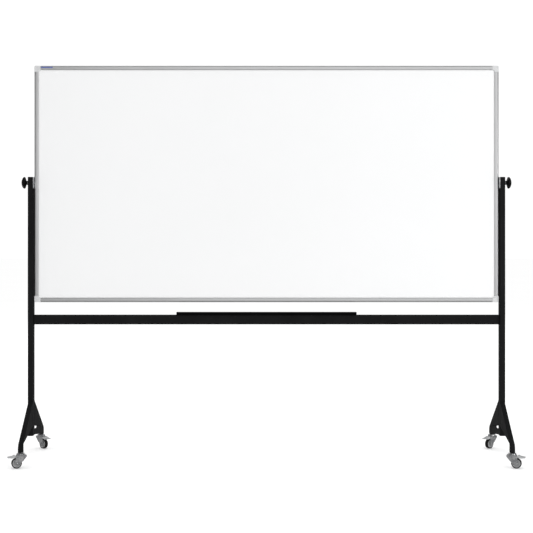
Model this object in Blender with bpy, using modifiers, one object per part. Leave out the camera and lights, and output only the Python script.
"""Revolving double-sided whiteboard on a rolling stand.

Metres, +Z up. The reader stands at -Y. The board turns about a horizontal axis between
two uprights, and each upright stands on a foot with two swivel casters.
"""

import math

import bmesh
import bpy
from mathutils import Matrix, Vector

GAP = 0.0003  # clearance between pieces that touch
PAST = 0.020  # how much longer a cutter is than what it cuts
SHARP_ANGLE = 40  # degrees, above which an edge stays sharp

# Board
WRITING_WIDTH = 2.400
WRITING_HEIGHT = 1.200
RAIL_FACE = 0.023
RAIL_DEPTH = 0.024
RAIL_SLOT = 0.0115  # from the rail's outer edge to the bottom of its slot
RAIL_ROUND = 0.005
RAIL_LIP_ROUND = 0.001
BOARD_WIDTH = WRITING_WIDTH + 2 * RAIL_FACE
BOARD_HEIGHT = WRITING_HEIGHT + 2 * RAIL_FACE
BOARD_CENTRE_Z = 1.443
CORE_THICKNESS = 0.014
SHEET_THICKNESS = 0.0006
CORNER_LEG = 0.033
CORNER_DEPTH = 0.0250
CORNER_ROUND = 0.006

# Pivot and knob, along X from the board's side outwards
PIVOT_Z = 1.449
PLATE_SIZE = 0.060
PLATE_THICKNESS = 0.0039
PLATE_ROUND = 0.004
STUD_RADIUS = 0.004
STUD_LENGTH = 0.056
BUSH_RADIUS = 0.008
BUSH_FLANGE_RADIUS = 0.012
BUSH_FLANGE = 0.002
WASHER_RADIUS = 0.012
WASHER_THICKNESS = 0.0015
KNOB_RADIUS = 0.031
KNOB_NECK_RADIUS = 0.011
KNOB_NECK = 0.010
KNOB_HEAD = 0.0215
KNOB_BAND = 0.004  # straight part of the rim, below the dome
KNOB_CHAMFER = 0.002
KNOB_CROWN = 0.006  # solid plastic above the stud hole
INSERT_RADIUS = 0.0065
INSERT_LENGTH = 0.018
INSERT_INSET = 0.001

# Stand
TUBE_WIDTH = 0.028
TUBE_DEPTH = 0.050
TUBE_WALL = 0.0018
TUBE_ROUND = 0.004
UPRIGHT_INNER_X = 1.2275
UPRIGHT_X = UPRIGHT_INNER_X + TUBE_WIDTH / 2
UPRIGHT_BOTTOM_Z = 0.117
UPRIGHT_TOP_Z = 1.4765
CAP_THICKNESS = 0.003
CAP_PLUG = 0.020
PLUG_ROUND = 0.002
BAR_DEPTH = 0.025
BAR_BOTTOM_Z = 0.7025
BAR_TOP_Z = 0.7530
TRAY_LENGTH = 0.950
TRAY_DEPTH = 0.050
TRAY_HEIGHT = 0.013
TRAY_WALL = 0.0025
TRAY_ROUND = 0.008

# Foot, as distances from the stand's middle plane and heights
LEG_WIDTH = 0.025
LEG_X = UPRIGHT_INNER_X + LEG_WIDTH / 2
STEM_Y = 0.280
STEM_DEPTH = 0.025
STEM_BOTTOM_Z = 0.078
LEG_START_Y = TUBE_DEPTH / 2 + GAP
LEG_TOP_Z = 0.299
LEG_SLOPE = 0.686  # fall of the leg's top edge per metre
LEG_UNDER_INNER_Z = 0.168
LEG_UNDER_OUTER_Z = 0.1195
LEG_BEND = 0.030
TIE_SLOT_Z = (0.1485, 0.1445)  # bottom of the slot, at the upright and at its far end
TIE_SLOT_Y = (0.080, 0.095)  # far end of the slot, at its bottom and at its top
TIE_BOTTOM_Z = (UPRIGHT_BOTTOM_Z, 0.082)
TIE_THICKNESS = 0.004

# Caster, in its own frame: swivel axis at the origin, wheel behind it along +X
WHEEL_RADIUS = 0.026
WHEEL_WIDTH = 0.020
WHEEL_RIM_RADIUS = 0.0205
RIM_THICKNESS = 0.003
RIM_INSET = 0.001  # from the tyre's side to the rim's
HALF_WEB = 0.003
TYRE_CROWN = 0.0015
TYRE_SHOULDER = 0.003
TYRE_LIP = 0.0005
HUB_RADIUS = 0.007
HUB_WIDTH = 0.0236
AXLE_RADIUS = 0.003
BOLT_HEAD_RADIUS = 0.0055
BOLT_HEAD = 0.003
TRAIL = 0.0205
FORK_INSIDE = 0.0125
FORK_WALL = 0.0025
FORK_ROOF_Z = 0.0640
FORK_TOP_Z = 0.0675
FORK_SHOULDER = (-0.0290, 0.0600)  # lower corner, ahead of the swivel axis
FORK_ELBOW = (-0.0100, 0.0365)
FORK_END = 0.0070  # half the width of the cheek at the axle
FORK_END_Z = 0.0200
FORK_BACK_Z = 0.0440
FORK_BACK_X = 0.0215
FORK_ROUND = (0.005, 0.006, 0.006, 0.006, 0.006, 0.006, 0.003)
HEAD_RADIUS = 0.0210
HEAD_TOP_Z = 0.0762
HEAD_OVERLAP = 0.001
STEM_RADIUS = 0.0050
RIVET_RADIUS = 0.0070
RIVET_BOTTOM_Z = 0.0617
STEM_FLANGE_RADIUS = 0.0120
STEM_HOLE_DEPTH = 0.040
STEM_HOLE_PLAY = 0.002
PEDAL_PIVOT = (0.0245, 0.0570)
PEDAL_WIDTH = 0.0230
PEDAL_OUTLINE = (
    (0.0195, 0.0600),
    (0.0195, 0.0562),
    (0.0340, 0.0535),
    (0.0420, 0.0520),
    (0.0630, 0.0545),
    (0.0660, 0.0555),
    (0.0660, 0.0590),
    (0.0560, 0.0600),
    (0.0420, 0.0625),
    (0.0355, 0.0665),
    (0.0300, 0.0665),
    (0.0250, 0.0612),
)
CASTERS = {
    "front_left": (-1, -1, 196.8),
    "front_right": (1, -1, -16.8),
    "rear_left": (-1, 1, -40),
    "rear_right": (1, 1, 220),
}  # side, front or rear, and the direction in which the wheel trails, in degrees

BLACK_PAINT = ("black_paint", (0.016, 0.016, 0.017), 0.45, 0.0)
BLACK_PLASTIC = ("black_plastic", (0.02, 0.02, 0.02), 0.35, 0.0)
ALUMINIUM = ("aluminium_rail", (0.62, 0.62, 0.63), 0.35, 1.0)
GREY_CORNER = ("grey_corner", (0.55, 0.55, 0.56), 0.5, 0.0)
WHITE_STEEL = ("white_steel", (0.90, 0.90, 0.90), 0.15, 0.0)
CORE_BOARD = ("core_board", (0.55, 0.42, 0.28), 0.9, 0.0)
ZINC = ("zinc", (0.70, 0.70, 0.70), 0.35, 1.0)
GREY_WHEEL = ("grey_wheel", (0.30, 0.30, 0.31), 0.5, 0.0)
BLACK_TYRE = ("black_tyre", (0.02, 0.02, 0.02), 0.7, 0.0)


def clear_scene():
    for obj in list(bpy.data.objects):
        bpy.data.objects.remove(obj, do_unlink=True)


def new_collection(name):
    collection = bpy.data.collections.new(name)
    bpy.context.scene.collection.children.link(collection)
    return collection


def material(spec):
    name, colour, roughness, metallic = spec
    found = bpy.data.materials.get(name)
    if found:
        return found
    made = bpy.data.materials.new(name)
    made.use_nodes = True
    shader = made.node_tree.nodes["Principled BSDF"]
    shader.inputs["Base Color"].default_value = (*colour, 1.0)
    shader.inputs["Roughness"].default_value = roughness
    shader.inputs["Metallic"].default_value = metallic
    made.diffuse_color = (*colour, 1.0)
    return made


def add_object(name, data, spec, matrix=None, parent=None):
    """A piece in the parts collection; matrix is relative to the parent."""
    obj = bpy.data.objects.new(name, data)
    PARTS.objects.link(obj)
    if spec:
        data.materials.append(material(spec))
    obj.parent = parent
    obj.matrix_basis = matrix or Matrix.Identity(4)
    return obj


def as_cutter(obj):
    PARTS.objects.unlink(obj)
    CUTTERS.objects.link(obj)
    obj.hide_render = True
    obj.display_type = "WIRE"


def boolean(obj, other, operation):
    modifier = obj.modifiers.new(operation.lower(), "BOOLEAN")
    modifier.operation = operation
    modifier.solver = "EXACT"
    modifier.object = other
    as_cutter(other)


def axes(x_axis, y_axis, origin=(0, 0, 0)):
    """The matrix whose local x and y run along the given directions."""
    x_axis = Vector(x_axis)
    y_axis = Vector(y_axis)
    turned_by = Matrix((x_axis, y_axis, x_axis.cross(y_axis))).transposed().to_4x4()
    return Matrix.Translation(Vector(origin)) @ turned_by


def box(name, low, high, spec=None, parent=None):
    mesh = bpy.data.meshes.new(name)
    work = bmesh.new()
    size = Vector(high) - Vector(low)
    centre = (Vector(high) + Vector(low)) / 2
    place = Matrix.Translation(centre) @ Matrix.Diagonal((*size, 1.0))
    bmesh.ops.create_cube(work, size=1.0, matrix=place)
    work.to_mesh(mesh)
    work.free()
    return add_object(name, mesh, spec, parent=parent)


def cylinder(name, radius, depth, sides, matrix, spec=None, parent=None):
    mesh = bpy.data.meshes.new(name)
    work = bmesh.new()
    bmesh.ops.create_cone(
        work, cap_ends=True, segments=sides, radius1=radius, radius2=radius, depth=depth
    )
    work.to_mesh(mesh)
    work.free()
    return add_object(name, mesh, spec, matrix, parent)


def fillet(points, radii, steps=4):
    """The closed outline with each corner replaced by an arc of its radius."""
    rounded = []
    for index, corner in enumerate(points):
        radius = radii[index]
        here = Vector(corner)
        if radius == 0:
            rounded.append(here)
            continue
        before = (Vector(points[index - 1]) - here).normalized()
        after = (Vector(points[(index + 1) % len(points)]) - here).normalized()
        half = before.angle(after) / 2
        middle = here + (before + after).normalized() * radius / math.sin(half)
        arm = here + before * radius / math.tan(half) - middle
        sweep = math.pi - 2 * half
        if before.x * after.y - before.y * after.x > 0:
            sweep = -sweep
        for step in range(steps + 1):
            rounded.append(middle + Matrix.Rotation(sweep * step / steps, 2) @ arm)
    return rounded


def slab(name, outline, thickness, spec=None, matrix=None, parent=None):
    """A flat outline in local XY, extruded to both sides of it along local Z."""
    curve = bpy.data.curves.new(name, "CURVE")
    curve.dimensions = "2D"
    curve.fill_mode = "BOTH"
    curve.extrude = thickness / 2
    spline = curve.splines.new("POLY")
    spline.points.add(len(outline) - 1)
    spline.use_cyclic_u = True
    for point, place in zip(spline.points, outline):
        point.co = (place[0], place[1], 0.0, 1.0)
    return add_object(name, curve, spec, matrix, parent)


def to_mesh(obj, spec=None):
    """The filled curve as a welded mesh object, which Booleans can work on."""
    name = obj.name
    parent = obj.parent
    basis = obj.matrix_basis.copy()
    bpy.context.view_layer.update()
    graph = bpy.context.evaluated_depsgraph_get()
    mesh = bpy.data.meshes.new_from_object(obj.evaluated_get(graph))
    curve = obj.data
    bpy.data.objects.remove(obj, do_unlink=True)
    bpy.data.curves.remove(curve)
    work = bmesh.new()
    work.from_mesh(mesh)
    bmesh.ops.remove_doubles(work, verts=work.verts, dist=0.00001)
    bmesh.ops.recalc_face_normals(work, faces=work.faces)
    work.to_mesh(mesh)
    work.free()
    mesh.materials.clear()
    mesh.name = name
    return add_object(name, mesh, spec, basis, parent)


def turned(name, profile, sides, spec=None, matrix=None, parent=None):
    """A profile of (radius, height) points, from top to bottom, turned about local Z."""
    mesh = bpy.data.meshes.new(name)
    closed = profile[0][0] > 0
    points = [(radius, 0.0, height) for radius, height in profile]
    edges = [(index, index + 1) for index in range(len(points) - 1)]
    if closed:
        edges.append((len(points) - 1, 0))
    mesh.from_pydata(points, edges, [])
    obj = add_object(name, mesh, spec, matrix, parent)
    screw = obj.modifiers.new("turn", "SCREW")
    screw.steps = sides
    screw.render_steps = sides
    screw.use_merge_vertices = True
    screw.merge_threshold = 0.00001
    screw.use_smooth_shade = True
    screw.use_normal_calculate = False
    return obj


def rounded_rectangle(width, depth, radius, steps=2):
    half = Vector((width / 2, depth / 2))
    corners = [(-half.x, -half.y), (half.x, -half.y), (half.x, half.y), (-half.x, half.y)]
    return fillet(corners, [radius] * 4, steps)


def hollow_tube(name, width, depth, length, matrix):
    """A painted rectangular tube along local Z, open at both ends."""
    outer = rounded_rectangle(width, depth, TUBE_ROUND)
    bore_width = width - 2 * TUBE_WALL
    bore_depth = depth - 2 * TUBE_WALL
    inner = rounded_rectangle(bore_width, bore_depth, TUBE_ROUND - TUBE_WALL)
    tube = to_mesh(slab(name, outer, length, None, matrix), BLACK_PAINT)
    bore = to_mesh(slab(name + "_bore", inner, length + PAST, None, matrix))
    boolean(tube, bore, "DIFFERENCE")
    return tube


def empty(name, location, parent=None, turn=0.0):
    """A joint's place, which its moving pieces hang from."""
    obj = bpy.data.objects.new(name, None)
    PARTS.objects.link(obj)
    obj.location = location
    obj.rotation_euler = (0, 0, turn)
    obj.parent = parent
    return obj


# Board


def rail_outline():
    """Section of the frame rail: local x runs inwards from its outer edge, y across it."""
    half = RAIL_DEPTH / 2
    slot = CORE_THICKNESS / 2 + SHEET_THICKNESS + 2 * GAP
    points = [
        (0, -half),
        (RAIL_FACE, -half),
        (RAIL_FACE, -slot),
        (RAIL_SLOT, -slot),
        (RAIL_SLOT, slot),
        (RAIL_FACE, slot),
        (RAIL_FACE, half),
        (0, half),
    ]
    return fillet(points, [RAIL_ROUND, RAIL_LIP_ROUND, 0, 0, 0, 0, RAIL_LIP_ROUND, RAIL_ROUND], 3)


def make_rails(pivot):
    """Four extruded rails, cut square between the corner pieces."""
    drop = BOARD_CENTRE_Z - PIVOT_Z
    half_width = BOARD_WIDTH / 2
    half_height = BOARD_HEIGHT / 2
    across = BOARD_WIDTH - 2 * (CORNER_LEG + GAP)
    upright = BOARD_HEIGHT - 2 * (CORNER_LEG + GAP)
    rails = {
        "top_rail": ((0, 0, -1), (0, 0, drop + half_height), across),
        "bottom_rail": ((0, 0, 1), (0, 0, drop - half_height), across),
        "left_rail": ((1, 0, 0), (-half_width, 0, drop), upright),
        "right_rail": ((-1, 0, 0), (half_width, 0, drop), upright),
    }
    for name, (inwards, place, length) in rails.items():
        slab(name, rail_outline(), length, ALUMINIUM, axes(inwards, (0, 1, 0), place), pivot)


def make_corners(pivot):
    """L-shaped plastic corner pieces, slotted for the panel's corner."""
    drop = BOARD_CENTRE_Z - PIVOT_Z
    arm = CORNER_LEG
    points = [(0, 0), (arm, 0), (arm, RAIL_FACE), (RAIL_FACE, RAIL_FACE), (RAIL_FACE, arm), (0, arm)]
    outline = fillet(points, [CORNER_ROUND, 0, 0, 0, 0, 0])
    slot = CORE_THICKNESS / 2 + SHEET_THICKNESS + 2 * GAP
    corners = {
        "top_left_corner": (-1, 1, (1, 0, 0), (0, 0, -1)),
        "top_right_corner": (1, 1, (0, 0, -1), (-1, 0, 0)),
        "bottom_right_corner": (1, -1, (-1, 0, 0), (0, 0, 1)),
        "bottom_left_corner": (-1, -1, (0, 0, 1), (1, 0, 0)),
    }
    for name, (side, end, x_axis, y_axis) in corners.items():
        place = (side * BOARD_WIDTH / 2, 0, drop + end * BOARD_HEIGHT / 2)
        matrix = axes(x_axis, y_axis, place)
        corner = to_mesh(slab(name, outline, CORNER_DEPTH, None, matrix, pivot), GREY_CORNER)
        low = (RAIL_SLOT, RAIL_SLOT, -slot)
        high = (2 * CORNER_LEG, 2 * CORNER_LEG, slot)
        cutter = box(name + "_slot", low, high, parent=pivot)
        cutter.matrix_basis = matrix
        boolean(corner, cutter, "DIFFERENCE")


def make_panel(pivot):
    """Honeycomb core between two enamelled steel sheets."""
    drop = BOARD_CENTRE_Z - PIVOT_Z
    half_width = BOARD_WIDTH / 2 - RAIL_SLOT - GAP
    half_height = BOARD_HEIGHT / 2 - RAIL_SLOT - GAP
    core = CORE_THICKNESS / 2
    inner = core + GAP
    outer = inner + SHEET_THICKNESS
    layers = {
        "panel_core": (-core, core, CORE_BOARD),
        "front_writing_sheet": (-outer, -inner, WHITE_STEEL),
        "back_writing_sheet": (inner, outer, WHITE_STEEL),
    }
    for name, (front, back, spec) in layers.items():
        low = (-half_width, front, drop - half_height)
        high = (half_width, back, drop + half_height)
        box(name, low, high, spec, pivot)


def make_pivot(name, side, pivot):
    """Square plate on the board's side with the stud that the board turns on."""
    plate_x = BOARD_WIDTH / 2 + GAP + PLATE_THICKNESS / 2
    outline = rounded_rectangle(PLATE_SIZE, PLATE_SIZE, PLATE_ROUND)
    across = axes((0, side, 0), (0, 0, 1), (side * plate_x, 0, 0))
    plate = to_mesh(slab(name + "_pivot_plate", outline, PLATE_THICKNESS, None, across, pivot), ZINC)
    reach = PLATE_THICKNESS + PAST
    hole = cylinder(name + "_plate_hole", STUD_RADIUS + GAP, reach, 16, across, parent=pivot)
    boolean(plate, hole, "DIFFERENCE")
    base = BOARD_WIDTH / 2 + GAP
    profile = [(0, STUD_LENGTH), (STUD_RADIUS, STUD_LENGTH), (STUD_RADIUS, 0), (0, 0)]
    outwards = axes((0, side, 0), (0, 0, 1), (side * base, 0, 0))
    turned(name + "_pivot_stud", profile, 16, ZINC, outwards, pivot)


# Knobs


def make_bush(name, side):
    """Nylon sleeve in the upright, with a flange on its outer face."""
    bore = STUD_RADIUS + GAP
    start = UPRIGHT_INNER_X + GAP
    length = TUBE_WIDTH
    flange = length + BUSH_FLANGE
    profile = [
        (bore, flange),
        (BUSH_FLANGE_RADIUS, flange),
        (BUSH_FLANGE_RADIUS, length),
        (BUSH_RADIUS, length),
        (BUSH_RADIUS, 0),
        (bore, 0),
    ]
    outwards = axes((0, side, 0), (0, 0, 1), (side * start, 0, PIVOT_Z))
    turned(name + "_pivot_bush", profile, 16, BLACK_PLASTIC, outwards)
    return start + flange


def make_knob(name, side, start):
    """Washer, threaded insert and domed knob, out along the stud."""
    bore = STUD_RADIUS + GAP
    washer_x = start + GAP
    slide = empty(name + "_knob_slide", (side * washer_x, 0, PIVOT_Z))
    outwards = axes((0, side, 0), (0, 0, 1))
    edge = WASHER_RADIUS
    washer = [(bore, WASHER_THICKNESS), (edge, WASHER_THICKNESS), (edge, 0), (bore, 0)]
    turned(name + "_clamp_washer", washer, 16, ZINC, outwards, slide)
    neck_x = WASHER_THICKNESS + GAP
    turn = empty(name + "_knob_turn", (side * neck_x, 0, 0), slide)
    insert_end = INSERT_INSET + INSERT_LENGTH
    insert = [(bore, insert_end), (INSERT_RADIUS, insert_end)]
    insert += [(INSERT_RADIUS, INSERT_INSET), (bore, INSERT_INSET)]
    turned(name + "_knob_insert", insert, 16, ZINC, outwards, turn)
    pocket = INSERT_RADIUS + GAP
    height = KNOB_NECK + KNOB_HEAD
    rim = KNOB_NECK + KNOB_BAND
    roof = height - KNOB_CROWN
    ledge = insert_end + INSERT_INSET
    dome = [(0, height)]
    for step in range(1, 6):
        angle = math.radians(90 * step / 6)
        dome.append((KNOB_RADIUS * math.sin(angle), rim + (height - rim) * math.cos(angle)))
    dome += [(KNOB_RADIUS, rim), (KNOB_RADIUS - KNOB_CHAMFER, KNOB_NECK)]
    dome += [(KNOB_NECK_RADIUS, KNOB_NECK), (KNOB_NECK_RADIUS, 0)]
    dome += [(pocket, 0), (pocket, ledge), (bore, ledge), (bore, roof), (0, roof)]
    turned(name + "_knob", dome, 24, BLACK_PLASTIC, outwards, turn)


# Stand


def make_upright(name, side):
    """Rectangular steel tube, drilled at the pivot and open at both ends."""
    length = UPRIGHT_TOP_Z - UPRIGHT_BOTTOM_Z
    middle = Matrix.Translation((side * UPRIGHT_X, 0, (UPRIGHT_TOP_Z + UPRIGHT_BOTTOM_Z) / 2))
    tube = hollow_tube(name + "_upright", TUBE_WIDTH, TUBE_DEPTH, length, middle)
    across = axes((0, side, 0), (0, 0, 1), (side * UPRIGHT_X, 0, PIVOT_Z))
    hole = cylinder(name + "_bush_hole", BUSH_RADIUS + GAP, TUBE_WIDTH + PAST, 16, across)
    boolean(tube, hole, "DIFFERENCE")


def make_upright_cap(name, side):
    """Plastic cap with a plug that sits in the tube's end."""
    play = 2 * (TUBE_WALL + GAP)
    plug = rounded_rectangle(TUBE_WIDTH - play, TUBE_DEPTH - play, PLUG_ROUND)
    lid = rounded_rectangle(TUBE_WIDTH, TUBE_DEPTH, TUBE_ROUND)
    plug_top = UPRIGHT_TOP_Z + GAP + CAP_THICKNESS / 2
    plug_middle = Matrix.Translation((side * UPRIGHT_X, 0, plug_top - CAP_PLUG / 2))
    lid_middle = Matrix.Translation((side * UPRIGHT_X, 0, plug_top))
    cap = to_mesh(slab(name + "_upright_cap", lid, CAP_THICKNESS, None, lid_middle), BLACK_PLASTIC)
    core = to_mesh(slab(name + "_cap_plug", plug, CAP_PLUG, None, plug_middle))
    boolean(cap, core, "UNION")


def make_crossbar():
    """Rectangular tube between the uprights, below the board."""
    height = BAR_TOP_Z - BAR_BOTTOM_Z
    length = 2 * (UPRIGHT_INNER_X - GAP)
    along = axes((0, 1, 0), (0, 0, 1), (0, 0, (BAR_TOP_Z + BAR_BOTTOM_Z) / 2))
    hollow_tube("crossbar", BAR_DEPTH, height, length, along)


def make_pen_tray():
    """Shallow channel on the crossbar, open at the top, with closed round-cornered ends."""
    floor_z = BAR_TOP_Z + GAP
    walls = 2 * TRAY_WALL
    block = rounded_rectangle(TRAY_LENGTH, TRAY_DEPTH, TRAY_ROUND, 4)
    inner_round = TRAY_ROUND - TRAY_WALL
    hollow = rounded_rectangle(TRAY_LENGTH - walls, TRAY_DEPTH - walls, inner_round, 4)
    middle = Matrix.Translation((0, 0, floor_z + TRAY_HEIGHT / 2))
    tray = to_mesh(slab("pen_tray", block, TRAY_HEIGHT, None, middle), BLACK_PAINT)
    raised = Matrix.Translation((0, 0, TRAY_WALL)) @ middle
    trough = to_mesh(slab("tray_trough", hollow, TRAY_HEIGHT, None, raised))
    boolean(tray, trough, "DIFFERENCE")


def leg_outline():
    """Side view of a leg: local x away from the upright, local y up."""
    inner = STEM_Y - STEM_DEPTH / 2
    outer = STEM_Y + STEM_DEPTH / 2
    bend_z = LEG_TOP_Z - LEG_SLOPE * (outer - LEG_START_Y)
    points = [
        (LEG_START_Y, LEG_UNDER_INNER_Z),
        (inner, LEG_UNDER_OUTER_Z),
        (inner, STEM_BOTTOM_Z),
        (outer, STEM_BOTTOM_Z),
        (outer, bend_z),
        (LEG_START_Y, LEG_TOP_Z),
    ]
    return fillet(points, [0, 0, 0, 0, LEG_BEND, 0], 6)


def make_leg(name, side, end):
    """Leg from the upright out to the caster, drilled from below for its stem."""
    lengthways = axes((0, end, 0), (0, 0, 1), (side * LEG_X, 0, 0))
    leg = to_mesh(slab(name + "_leg", leg_outline(), LEG_WIDTH, None, lengthways), BLACK_PAINT)
    top = STEM_BOTTOM_Z + STEM_HOLE_DEPTH
    middle = Matrix.Translation((side * LEG_X, end * STEM_Y, (top + STEM_BOTTOM_Z - PAST) / 2))
    drill = cylinder(name + "_stem_hole", STEM_RADIUS + GAP, STEM_HOLE_DEPTH + PAST, 12, middle)
    boolean(leg, drill, "DIFFERENCE")


def under_leg(y):
    """Height of the leg's underside at a distance from the stand's middle plane."""
    inner = STEM_Y - STEM_DEPTH / 2
    share = (y - LEG_START_Y) / (inner - LEG_START_Y)
    return LEG_UNDER_INNER_Z + share * (LEG_UNDER_OUTER_Z - LEG_UNDER_INNER_Z)


def make_tie(name, side):
    """Gusset plate under the rear leg's inner face, with a slot beside the upright."""
    start = LEG_START_Y
    stop = STEM_Y - STEM_DEPTH / 2 - GAP
    bottom, top = TIE_SLOT_Y
    outline = [
        (start, TIE_BOTTOM_Z[0]),
        (stop, TIE_BOTTOM_Z[1]),
        (stop, under_leg(stop) - GAP),
        (top, under_leg(top) - GAP),
        (bottom, TIE_SLOT_Z[1]),
        (start, TIE_SLOT_Z[0]),
    ]
    middle = UPRIGHT_INNER_X + TIE_THICKNESS / 2
    lengthways = axes((0, 1, 0), (0, 0, 1), (side * middle, 0, 0))
    slab(name + "_foot_tie", outline, TIE_THICKNESS, BLACK_PAINT, lengthways)


# Casters


def make_stem(name, place):
    """Threaded stem in the leg, with the rivet that the fork turns on."""
    flange_bottom = HEAD_TOP_Z + GAP
    flange_top = STEM_BOTTOM_Z - GAP
    rivet_top = FORK_ROOF_Z - GAP
    stem_top = STEM_BOTTOM_Z + STEM_HOLE_DEPTH - STEM_HOLE_PLAY
    profile = [
        (0, stem_top),
        (STEM_RADIUS, stem_top),
        (STEM_RADIUS, flange_top),
        (STEM_FLANGE_RADIUS, flange_top),
        (STEM_FLANGE_RADIUS, flange_bottom),
        (STEM_RADIUS, flange_bottom),
        (STEM_RADIUS, rivet_top),
        (RIVET_RADIUS, rivet_top),
        (RIVET_RADIUS, RIVET_BOTTOM_Z),
        (0, RIVET_BOTTOM_Z),
    ]
    turned(name + "_caster_stem", profile, 12, ZINC, Matrix.Translation(place))


def fork_outline():
    """Side view of the fork's cheeks: local x towards the wheel, local y up."""
    points = [
        (FORK_SHOULDER[0], FORK_TOP_Z),
        FORK_SHOULDER,
        FORK_ELBOW,
        (TRAIL - FORK_END, FORK_END_Z),
        (TRAIL + FORK_END, FORK_END_Z),
        (TRAIL + FORK_END, FORK_BACK_Z),
        (FORK_BACK_X, FORK_TOP_Z),
    ]
    return fillet(points, FORK_ROUND, 3)


def make_fork(name, swivel):
    """Pressed fork: two cheeks under a roof, with the round swivel head on top."""
    sideways = axes((1, 0, 0), (0, 0, 1))
    width = 2 * (FORK_INSIDE + FORK_WALL)
    fork = to_mesh(slab(name + "_caster_fork", fork_outline(), width, None, sideways, swivel), ZINC)
    low = (FORK_SHOULDER[0] - PAST, -FORK_INSIDE, 0)
    high = (TRAIL + WHEEL_RADIUS + PAST, FORK_INSIDE, FORK_ROOF_Z)
    boolean(fork, box(name + "_fork_slot", low, high, parent=swivel), "DIFFERENCE")
    head_bottom = FORK_ROOF_Z + HEAD_OVERLAP
    middle = Matrix.Translation((0, 0, (HEAD_TOP_Z + head_bottom) / 2))
    depth = HEAD_TOP_Z - head_bottom
    head = cylinder(name + "_head", HEAD_RADIUS, depth, 20, middle, parent=swivel)
    boolean(fork, head, "UNION")
    middle = Matrix.Translation((0, 0, HEAD_TOP_Z))
    reach = 2 * depth + PAST
    bore = cylinder(name + "_head_bore", STEM_RADIUS + GAP, reach, 12, middle, parent=swivel)
    boolean(fork, bore, "DIFFERENCE")
    across = axes((0, 0, 1), (1, 0, 0), (TRAIL, 0, WHEEL_RADIUS))
    reach = width + PAST
    eye = cylinder(name + "_axle_hole", AXLE_RADIUS + GAP, reach, 12, across, parent=swivel)
    boolean(fork, eye, "DIFFERENCE")


def make_axle(name, swivel):
    """Axle bolt through the cheeks, with a head at each end."""
    outside = FORK_INSIDE + FORK_WALL + GAP
    end = outside + BOLT_HEAD
    profile = [
        (0, end),
        (BOLT_HEAD_RADIUS, end),
        (BOLT_HEAD_RADIUS, outside),
        (AXLE_RADIUS, outside),
        (AXLE_RADIUS, -outside),
        (BOLT_HEAD_RADIUS, -outside),
        (BOLT_HEAD_RADIUS, -end),
        (0, -end),
    ]
    across = axes((0, 0, 1), (1, 0, 0), (TRAIL, 0, WHEEL_RADIUS))
    turned(name + "_caster_axle", profile, 12, ZINC, across, swivel)


def make_wheel(name, axle):
    """Plastic core with hub and web, and the tyre round its rim."""
    across = axes((0, 0, 1), (1, 0, 0))
    bore = AXLE_RADIUS + GAP
    hub = HUB_WIDTH / 2
    side = WHEEL_WIDTH / 2
    rim = side - RIM_INSET
    inner = WHEEL_RIM_RADIUS - RIM_THICKNESS
    half = [(bore, hub), (HUB_RADIUS, hub), (HUB_RADIUS, HALF_WEB), (inner, HALF_WEB)]
    half += [(inner, rim), (WHEEL_RIM_RADIUS, rim)]
    profile = half + [(radius, -height) for radius, height in reversed(half)]
    turned(name + "_wheel_core", profile, 20, GREY_WHEEL, across, axle)
    half = [(WHEEL_RIM_RADIUS + GAP, side - TYRE_LIP), (WHEEL_RADIUS - TYRE_CROWN, side)]
    half.append((WHEEL_RADIUS, side - TYRE_SHOULDER))
    profile = half + [(radius, -height) for radius, height in reversed(half)]
    turned(name + "_wheel_tyre", profile, 32, BLACK_TYRE, across, axle)


def make_pedal(name, swivel):
    """Brake pedal: a humped plate over the wheel that the toe presses down."""
    x, z = PEDAL_PIVOT
    hinge = empty(name + "_pedal_hinge", (x, 0, z), swivel)
    outline = [(along - x, height - z) for along, height in PEDAL_OUTLINE]
    sideways = axes((1, 0, 0), (0, 0, 1))
    slab(name + "_brake_pedal", outline, PEDAL_WIDTH, GREY_WHEEL, sideways, hinge)


def make_caster(name, side, end, trail_angle):
    place = Vector((side * LEG_X, end * STEM_Y, 0))
    make_stem(name, place)
    swivel = empty(name + "_swivel", place, turn=math.radians(trail_angle))
    make_fork(name, swivel)
    make_axle(name, swivel)
    axle = empty(name + "_axle_line", (TRAIL, 0, WHEEL_RADIUS), swivel)
    make_wheel(name, axle)
    make_pedal(name, swivel)


def shade():
    """Round meshes smooth, with the sharp edges kept."""
    for obj in PARTS.objects:
        if obj.type == "MESH" and not any(item.type == "SCREW" for item in obj.modifiers):
            obj.data.shade_smooth()
            obj.data.set_sharp_from_angle(angle=math.radians(SHARP_ANGLE))


clear_scene()
PARTS = new_collection("rolling_whiteboard")
CUTTERS = new_collection("cutters")
board_pivot = empty("board_pivot", (0, 0, PIVOT_Z))
make_panel(board_pivot)
make_rails(board_pivot)
make_corners(board_pivot)
for side_name, side_sign in (("left", -1), ("right", 1)):
    make_pivot(side_name, side_sign, board_pivot)
    bush_end = make_bush(side_name, side_sign)
    make_knob(side_name, side_sign, bush_end)
    make_upright(side_name, side_sign)
    make_upright_cap(side_name, side_sign)
    make_leg(side_name + "_front", side_sign, -1)
    make_leg(side_name + "_rear", side_sign, 1)
    make_tie(side_name, side_sign)
make_crossbar()
make_pen_tray()
for caster_name, (side_sign, end_sign, trail) in CASTERS.items():
    make_caster(caster_name, side_sign, end_sign, trail)
shade()
